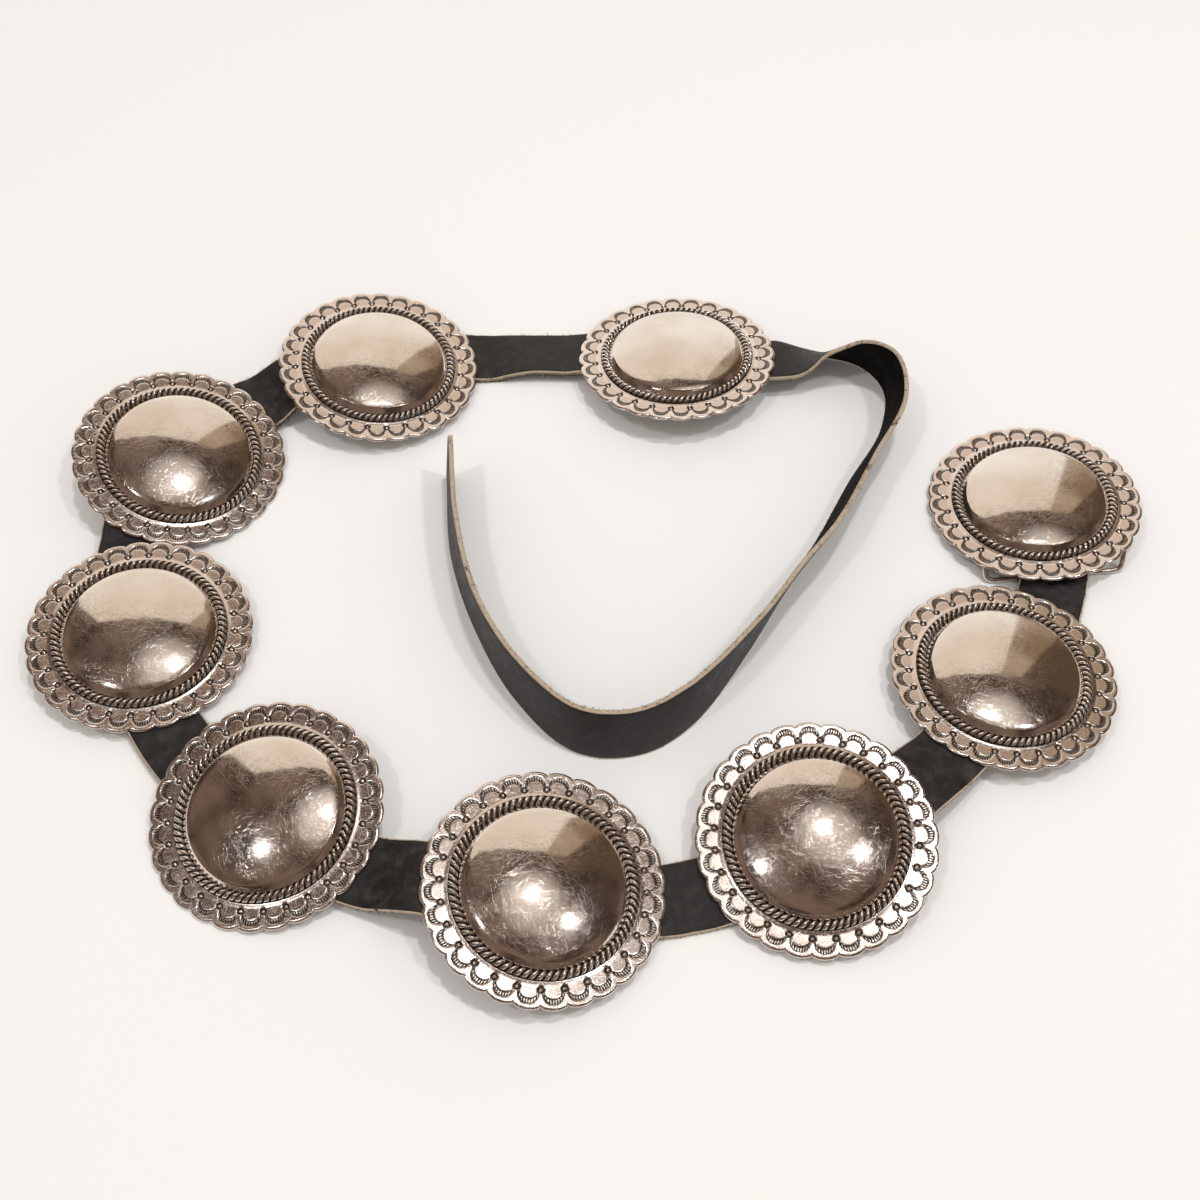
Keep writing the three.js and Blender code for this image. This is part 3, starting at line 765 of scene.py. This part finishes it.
def build_buckle_fittings():
    bearing = math.radians(STAPLE_BEARING)
    forward = np.array([math.cos(bearing), math.sin(bearing), 0])
    feet, corners = [], []
    for side in (-1, 1):
        aside = left_of(forward) * side * STAPLE_SPAN / 2
        foot = buckle.centre + forward * STAPLE_FOOT + aside
        foot[2] = buckle.centre[2] + buckle.rise(foot) - SOLDER_DEPTH
        corner = buckle.centre + forward * STAPLE_REACH + aside
        corner[2] = REST_GAP + WIRE_RADIUS
        feet.append(foot)
        corners.append(corner)
    build_wire("buckle_staple", [feet[0], corners[0], corners[1], feet[1]], STAPLE_CORNER)
    middle, along, across, grain = strap_at(0)
    half = STRAP_WIDTH / 2 + SEAT_GAP + POST_SIZE
    bar = middle + grain * BAR_HEIGHT
    build_wire("buckle_bar", [bar - across * half, bar + across * half], 0)
    build_wire("buckle_hook", [bar, bar - along * HOOK_LENGTH * 0.6,
                               bar - along * HOOK_LENGTH - grain * HOOK_DROP], HOOK_DROP)
    x, y, z = concho_axes[buckle.name]
    for side, label in ((-1, "right"), (1, "left")):
        foot = bar + across * side * (half - POST_SIZE / 2) - buckle.centre
        out = math.hypot(foot @ x, foot @ y)
        top = float(dome_height(min(out + DOME_SHEET, DOME_RADIUS))) - DOME_SHEET / 2
        low = foot @ z
        base = buckle.centre + x * (foot @ x) + y * (foot @ y) + SHIFT
        wide = POST_SIZE / 2
        outline = [(-wide, -wide), (wide, -wide), (wide, wide), (-wide, wide)]
        near, far = (lambda a, b, h=h: base + x * a + y * b + z * h for h in (low, top))
        post = extruded(f"buckle_post_{label}", outline, [[0, 1, 2, 3]], near, far, [wire_silver])
        worn_edges(post, 0.3)
        belt_piece(post)


# The strap, as a ribbon with rounded edges: grain side, raw edges and flesh side
STATION_STEP = 1.7
FACE_STEPS = 14
EDGE_ROUND = 0.5
WANDER_STEP = 0.05             # how unevenly the edges were cut
WANDER_SPAN = 41               # stations over which that evens out
ragged = np.random.default_rng(11)


def strap_section():
    half, thick = STRAP_WIDTH / 2, STRAP_THICKNESS / 2
    flat = half - EDGE_ROUND
    top = [(flat - 2 * flat * k / FACE_STEPS, thick) for k in range(FACE_STEPS + 1)]
    side = [(-half + 0.12, thick - 0.2), (-half, thick - 0.6), (-half, 0.6 - thick),
            (-half + 0.12, 0.2 - thick)]
    return top + side + [(-x, -z) for x, z in top] + [(-x, -z) for x, z in side]


def build_strap():
    section = strap_section()
    count = len(section)
    lengths = np.linspace(0, strap_length, int(strap_length / STATION_STEP))
    wander = np.cumsum(ragged.normal(0, WANDER_STEP, (len(lengths), 2)), axis=0)
    even = np.ones(WANDER_SPAN) / WANDER_SPAN
    wander -= np.array([np.convolve(column, even, "same") for column in wander.T]).T
    points = []
    for i, length in enumerate(lengths):
        middle, _, across, grain = strap_at(length)
        for a, g in section:
            out = abs(a) / (STRAP_WIDTH / 2)
            pull = np.clip(wander[i, int(a > 0)], -0.3, 0.1) * out ** 8
            swell = -0.12 * smooth(0.82, 1.0, out) * np.sign(g) * (abs(g) > 0.6)
            points.append(middle + SHIFT + across * (a + np.sign(a) * pull) + grain * (g + swell))
    faces = ring_faces(len(lengths), count)
    edge = FACE_STEPS + 5
    row = np.array([0] * FACE_STEPS + [1] * 5 + [2] * FACE_STEPS + [1] * 5)
    indices = np.tile(row, len(lengths) - 1).tolist()
    faces += fan_faces(0, count, len(points), flip=True)
    faces += fan_faces((len(lengths) - 1) * count, count, len(points) + 1)
    indices += [1] * 2 * count
    ends = [strap_at(length)[0] + SHIFT for length in (0, strap_length)]
    ribbon = mesh_object("strap_ribbon", points + ends, faces,
                         [grain_leather, edge_leather, flesh_leather], True, indices)
    ribbon.data.set_sharp_from_angle(angle=math.radians(50))
    belt_piece(ribbon, "strap")


# The end turned up and back over the bar, in two tongues either side of the hook's slot
def build_folded_end():
    middle, along, across, grain = strap_at(0)
    inner, outer = WIRE_RADIUS + SEAT_GAP, WIRE_RADIUS + SEAT_GAP + STRAP_THICKNESS
    turns = np.linspace(-math.pi / 2, -1.5 * math.pi, 17)
    outside = [(outer * math.cos(t), outer * math.sin(t)) for t in turns]
    inside = [(inner * math.cos(t), inner * math.sin(t)) for t in turns]
    outline = outside + [(FOLD_RETURN, outer), (FOLD_RETURN, inner)] + inside[::-1]
    last = len(outline) - 1
    caps = [[k, last - k, last - k - 1, k + 1] for k in range(len(outline) // 2 - 1)]
    bar = middle + grain * BAR_HEIGHT + SHIFT
    for low, high, label in ((FOLD_SLOT / 2, STRAP_WIDTH / 2, "left"),
                             (-STRAP_WIDTH / 2, -FOLD_SLOT / 2, "right")):
        near, far = (lambda a, h, w=w: bar + along * a + grain * h + across * w
                     for w in (low, high))
        tongue = extruded(f"strap_tongue_{label}", outline, caps, near, far,
                          [grain_leather], True)
        tongue.data.set_sharp_from_angle(angle=math.radians(40))
        worn_edges(tongue, 0.25)
        belt_piece(tongue)


# Loose fibres along the raw edges, longest beside the seventh concho
FIBRES = 9000
LONG_FIBRES = 2600


def fibre(length, side, reach, rng):
    middle, heading, across, grain = strap_at(length)
    root = middle + across * side * (STRAP_WIDTH / 2 - 0.1) \
        + grain * (rng.beta(1.2, 2.6) - 0.5) * STRAP_THICKNESS
    way = unit(across * side * rng.uniform(0.3, 1.0) + grain * rng.normal(0, 0.7)
               + heading * rng.normal(0, 0.9))
    wide = heading * rng.uniform(0.05, 0.13)
    bend = root + way * reach * 0.5 + grain * rng.normal(0, 0.12)
    tip = root + way * reach + heading * rng.normal(0, 0.25)
    return [root - wide, root + wide, bend + wide * 0.7, bend - wide * 0.7, tip]


def build_fibres():
    rng = np.random.default_rng(23)
    spots = [(rng.uniform(0, strap_length), rng.choice([-1, 1]), rng.uniform(0.35, 1.2))
             for _ in range(FIBRES)]
    hairy = seat_runs[6] + RIM_RADIUS, seat_runs[8] - RIM_RADIUS
    spots += [(rng.uniform(*hairy), -1 if rng.random() < 0.7 else 1, rng.uniform(0.5, 2.0))
              for _ in range(LONG_FIBRES)]
    points, faces = [], []
    for length, side, reach in spots:
        first = len(points)
        points += [np.maximum(p, [-1e9, -1e9, 0.05]) + SHIFT
                   for p in fibre(length, side, reach, rng)]
        faces += [[first, first + 1, first + 2, first + 3], [first + 3, first + 2, first + 4]]
    belt_piece(mesh_object("strap_fibres", points, faces, [fibre_leather], False))


build_conchos()
build_buckle_fittings()
build_strap()
build_folded_end()
build_fibres()


# Floor
def floor_look(graph):
    cloth = graph.noise(graph.place(), 900, 3)
    return {
        "Base Color": graph.mix(cloth, (0.875, 0.862, 0.845, 1), (0.89, 0.877, 0.86, 1)),
        "Roughness": 0.9,
        "Specular IOR Level": 0.1,
    }


FLOOR_HALF = 2500
floor = mesh_object("floor", [(-FLOOR_HALF, -FLOOR_HALF, 0), (FLOOR_HALF, -FLOOR_HALF, 0),
                              (FLOOR_HALF, FLOOR_HALF, 0), (-FLOOR_HALF, FLOOR_HALF, 0)],
                    [[0, 1, 2, 3]], [shaded("pale_surface", floor_look)], False)


# The room that the silver reflects: a pale wall beyond the belt, tan to the right of it, and
# brown elsewhere. Matt things see one even pale tone instead.
WALL_RISE = 0.6                # y over z at the wall's top
WALL_LEFT = -0.966             # x over y at its ends
WALL_RIGHT = 0.445
WALL_CORNER = 0.78             # beyond it the wall on the right is darker
GLOW_WAY = (0.14, 0.1, 0.985)  # where the main lamp lights the room's ceiling
GLOW_COSINES = (0.95, 1.0)
FILL_COLOUR = (0.62, 0.587, 0.56, 1)  # what the room sends to the surface and the leather


def build_room():
    world = bpy.data.worlds.new("studio")
    bpy.context.scene.world = world
    graph = Graph(world)
    way = graph.node("ShaderNodeTexCoord").outputs["Generated"]
    parts = graph.node("ShaderNodeSeparateXYZ", {"Vector": way}).outputs
    ahead = graph.math("MAXIMUM", parts[1], 0.001)
    aloft = graph.math("MAXIMUM", parts[2], 0.001)
    slope = graph.math("DIVIDE", parts[1], aloft)
    aside = graph.math("DIVIDE", parts[0], ahead)
    ragged_edge = graph.math("MULTIPLY", graph.noise(way, 9, 2), 0.12)
    below = graph.spread(graph.math("ADD", slope, ragged_edge), WALL_RISE + 0.04, WALL_RISE + 0.08)
    from_left = graph.spread(aside, WALL_LEFT - 0.03, WALL_LEFT + 0.03)
    from_right = graph.spread(aside, WALL_RIGHT + 0.02, WALL_RIGHT - 0.02)
    wall = graph.math("MULTIPLY", below, graph.math("MULTIPLY", from_left, from_right))
    pale = graph.mix(graph.spread(slope, 0.6, 3.0), (0.83, 0.72, 0.61, 1), (0.99, 0.94, 0.87, 1))
    clutter = graph.noise(way, 2.4, 2, 0.5)
    brown = graph.mix(graph.spread(clutter, 0.38, 0.62), (0.05, 0.033, 0.025, 1),
                      (0.185, 0.128, 0.097, 1))
    tan = graph.mix(graph.spread(clutter, 0.4, 0.6), (0.26, 0.18, 0.11, 1), (0.44, 0.34, 0.24, 1))
    tan = graph.mix(graph.spread(aside, WALL_CORNER - 0.02, WALL_CORNER + 0.02), tan,
                    (0.1, 0.066, 0.042, 1))
    right = graph.math("MULTIPLY", graph.spread(aside, WALL_RIGHT - 0.02, WALL_RIGHT + 0.02),
                       graph.math("MULTIPLY", below, graph.spread(parts[1], 0.0, 0.1)))
    glow_way = graph.node("ShaderNodeVectorMath", {0: way, 1: GLOW_WAY}, operation="DOT_PRODUCT")
    glow = graph.spread(glow_way.outputs["Value"], *GLOW_COSINES)
    around = graph.mix(glow, graph.mix(right, brown, tan), (0.62, 0.55, 0.49, 1))
    background = graph.tree.nodes["Background"]
    seen = graph.mix(wall, around, pale)
    spreads = graph.node("ShaderNodeLightPath").outputs["Is Diffuse Ray"]
    graph.put(graph.mix(spreads, seen, FILL_COLOUR), background.inputs["Color"])
    background.inputs["Strength"].default_value = 1.0


build_room()


# Lamps over the belt, each with its direction from the belt per unit of height. One part of its
# power stays out of the silver's reflections; the other shows in them as a bright spot.
LAMP_HEIGHT = 2.2
LAMP_SIZE = 0.16
LAMP_COLOUR = (0.985, 0.985, 0.985)
LAMPS = [
    ("lamp_main", (0.14, 0.1), 5.5, 6.5),
    ("lamp_right", (0.48, -0.1), 1.2, 8.0),
    ("lamp_left", (-0.44, -0.22), 0.2, 6.5),
]


def build_lamp(name, x, y, power, in_silver):
    data = bpy.data.lights.new(name, "AREA")
    data.shape, data.size, data.energy, data.color = "DISK", LAMP_SIZE, power, LAMP_COLOUR
    lamp = bpy.data.objects.new(name, data)
    bpy.context.collection.objects.link(lamp)
    lamp.location = (x * LAMP_HEIGHT, y * LAMP_HEIGHT, LAMP_HEIGHT)
    lamp.rotation_euler = (-lamp.location).to_track_quat("-Z", "Y").to_euler()
    lamp.visible_glossy = in_silver


def build_lamps():
    for name, (x, y), wide_power, spot_power in LAMPS:
        build_lamp(name, x, y, wide_power, False)
        build_lamp(f"{name}_spot", x, y, spot_power, True)


build_lamps()

# The camera stands where the photograph was taken from
FOCAL_PIXELS = 1502
IMAGE_PIXELS = 1200
SENSOR_WIDTH = 36
PITCH_DOWN = math.radians(55.62)
ROLL = math.radians(-0.30)
CAMERA_HEIGHT = 510.2


def build_camera():
    data = bpy.data.cameras.new("camera")
    data.sensor_width = SENSOR_WIDTH
    data.lens = SENSOR_WIDTH * FOCAL_PIXELS / IMAGE_PIXELS
    camera = bpy.data.objects.new("camera", data)
    bpy.context.collection.objects.link(camera)
    forward = np.array([0, math.cos(PITCH_DOWN), -math.sin(PITCH_DOWN)])
    place = SHIFT - forward * CAMERA_HEIGHT / math.sin(PITCH_DOWN)
    above = np.array([0, math.sin(PITCH_DOWN), math.cos(PITCH_DOWN)])
    aside = np.array([math.cos(ROLL), 0, 0]) - above * math.sin(ROLL)
    axes = [aside, np.cross(aside, forward), -forward]
    rows = [[axis[i] for axis in axes] + [place[i] * MM] for i in range(3)]
    camera.matrix_world = Matrix(rows + [[0, 0, 0, 1]])
    bpy.context.scene.camera = camera


build_camera()
bpy.context.scene.view_settings.view_transform = "Standard"
